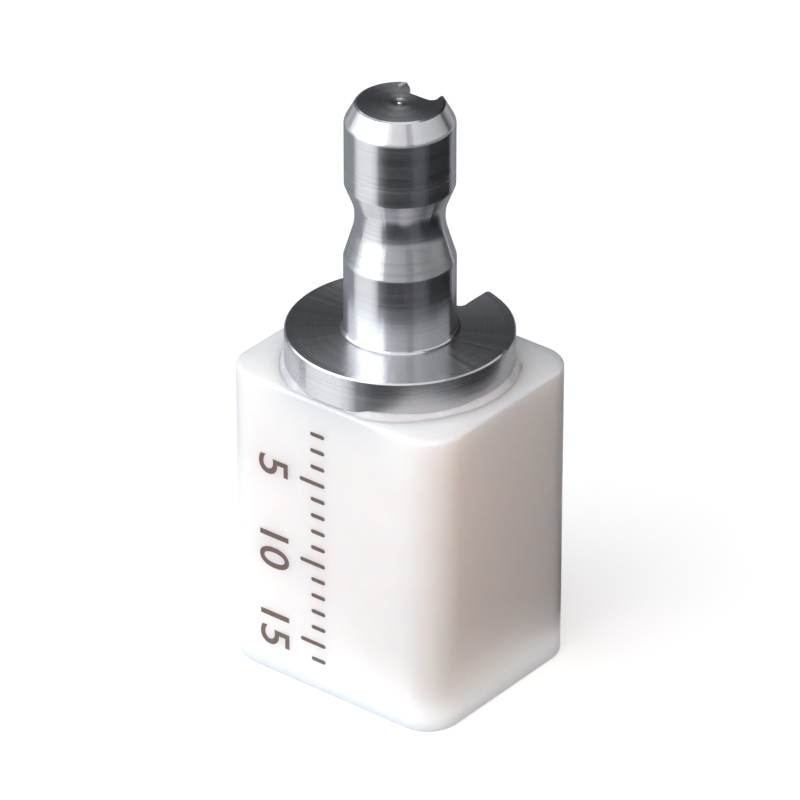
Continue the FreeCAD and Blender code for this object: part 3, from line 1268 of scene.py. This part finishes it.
LAMPS = (
    Softbox(
        "key_softbox",
        azimuth=-27.0, elevation=30.0, distance=520.0,
        width=560.0, height=640.0, radiance=1.8, colour="#F6F9FF",
    ),
    Softbox(
        "front_softbox",
        azimuth=25.0, elevation=30.0, distance=620.0,
        width=640.0, height=320.0, radiance=0.8, colour="#FFF8F2",
    ),
    # Close by on the right, so that the right face fades from its front edge to its back.
    Softbox(
        "near_softbox",
        azimuth=60.0, elevation=22.0, distance=46.0,
        width=24.0, height=24.0, radiance=3.9, colour="#FFEAE0", mirrored=False,
    ),
    Softbox(
        "left_reflector",
        azimuth=-41.0, elevation=30.0, distance=520.0,
        width=1000.0, height=420.0, radiance=1.9, lights_matt=False,
    ),
    Softbox(
        "right_reflector",
        azimuth=110.0, elevation=30.0, distance=620.0,
        width=1100.0, height=400.0, radiance=0.95, lights_matt=False,
    ),
    Softbox(
        "top_softbox",
        azimuth=50.0, elevation=76.0, distance=520.0,
        width=460.0, height=460.0, radiance=0.95,
    ),
    # Tall and narrow, so that the flange's rings turn it into one bright wedge.
    Softbox(
        "back_softbox",
        azimuth=218.0, elevation=58.0, distance=560.0,
        width=110.0, height=300.0, radiance=1.2,
    ),
)

CARDS = (
    DarkCard(
        "front_card",
        start=-26.0, end=165.0, inner=10.0, outer=200.0,
        colour="#1A1B1F", crease="#58595E", fade=26.0,
    ),
    DarkCard(
        "left_card",
        start=-195.0, end=-62.0, inner=24.0, outer=200.0,
        colour="#A4A5A9", crease="#BDBEC2",
    ),
)


@dataclass
class Studio:
    """Floor, lamps, cards, world and camera."""

    azimuth: float = 38.7
    elevation: float = 29.6
    distance: float = 360.0
    pivot: Triple = (0.0, 0.0, 20.12)
    aim: Triple = (0.0, 0.0, 15.6)
    focal_pixels: float = 6800.0
    clip: Span = (0.01, 20.0)
    lamp_aim: Triple = (0.0, 0.0, 16.0)
    lamps: tuple[Softbox, ...] = LAMPS
    cards: tuple[DarkCard, ...] = CARDS
    floor: PaperFloor = field(default_factory=PaperFloor)
    room_dark: str = "#38373A"
    room_bright: str = "#D8DCE2"
    room_strength: float = 0.8
    bright_azimuth: float = -20.0
    bright_elevation: float = 30.0
    dark_until: float = -0.4

    def build(self) -> None:
        """Set up everything round the object."""
        self._view()
        self.floor.build()
        self._world()
        for lamp in self.lamps:
            lamp.build(Vector(self.lamp_aim) * MM)
        for card in self.cards:
            card.build()

    def _view(self) -> None:
        """Triple the camera where the photograph was taken from."""
        data = bpy.data.cameras.new("photo_camera")
        data.lens = self.focal_pixels / FRAME_PIXELS * SENSOR_MM
        data.clip_start, data.clip_end = self.clip
        camera = bpy.data.objects.new("photo_camera", data)
        camera.location = (Vector(self.pivot) + heading(self.azimuth, self.elevation) * self.distance) * MM
        away = camera.location - Vector(self.aim) * MM
        camera.rotation_euler = away.to_track_quat("Z", "Y").to_euler()
        bpy.context.scene.collection.objects.link(camera)
        bpy.context.scene.camera = camera

    def _world(self) -> None:
        """Light the room, brighter on the main lamp's side."""
        world = bpy.data.worlds.new("studio_room")
        world.use_nodes = True
        tree = world.node_tree
        tree.nodes.clear()
        way = add_node(tree, "TexCoord").outputs["Generated"]
        bright = tuple(heading(self.bright_azimuth, self.bright_elevation))
        facing = add_node(tree, "VectorMath", {0: way, 1: bright}, operation="DOT_PRODUCT")
        share = add_node(
            tree,
            "MapRange",
            {"Value": facing.outputs["Value"], "From Min": self.dark_until},
            interpolation_type="SMOOTHSTEP",
        )
        tint = add_node(
            tree,
            "Mix",
            {MIX_SHARE: share.outputs[0], MIX_A: linear(self.room_dark), MIX_B: linear(self.room_bright)},
            data_type="RGBA",
        )
        shine = add_node(
            tree, "Background", {"Color": tint.outputs[MIX_RESULT], "Strength": self.room_strength}
        )
        add_node(tree, "OutputWorld", {"Surface": shine.outputs[0]})
        bpy.context.scene.world = world


def main() -> None:
    """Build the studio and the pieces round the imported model."""
    logging.basicConfig(level=logging.INFO, format="%(message)s")
    bpy.context.scene.view_settings.view_transform = "Standard"
    bpy.context.view_layer.update()
    Studio().build()
    pieces = [CeramicBlock().dress(), PrintedScale().build(), CementBead().build(), Mandrel().build()]
    for piece in pieces:
        LOG.info("%s: %d faces", piece.name, len(piece.data.polygons))
    bpy.context.view_layer.update()


if __name__ == "__main__":
    main()
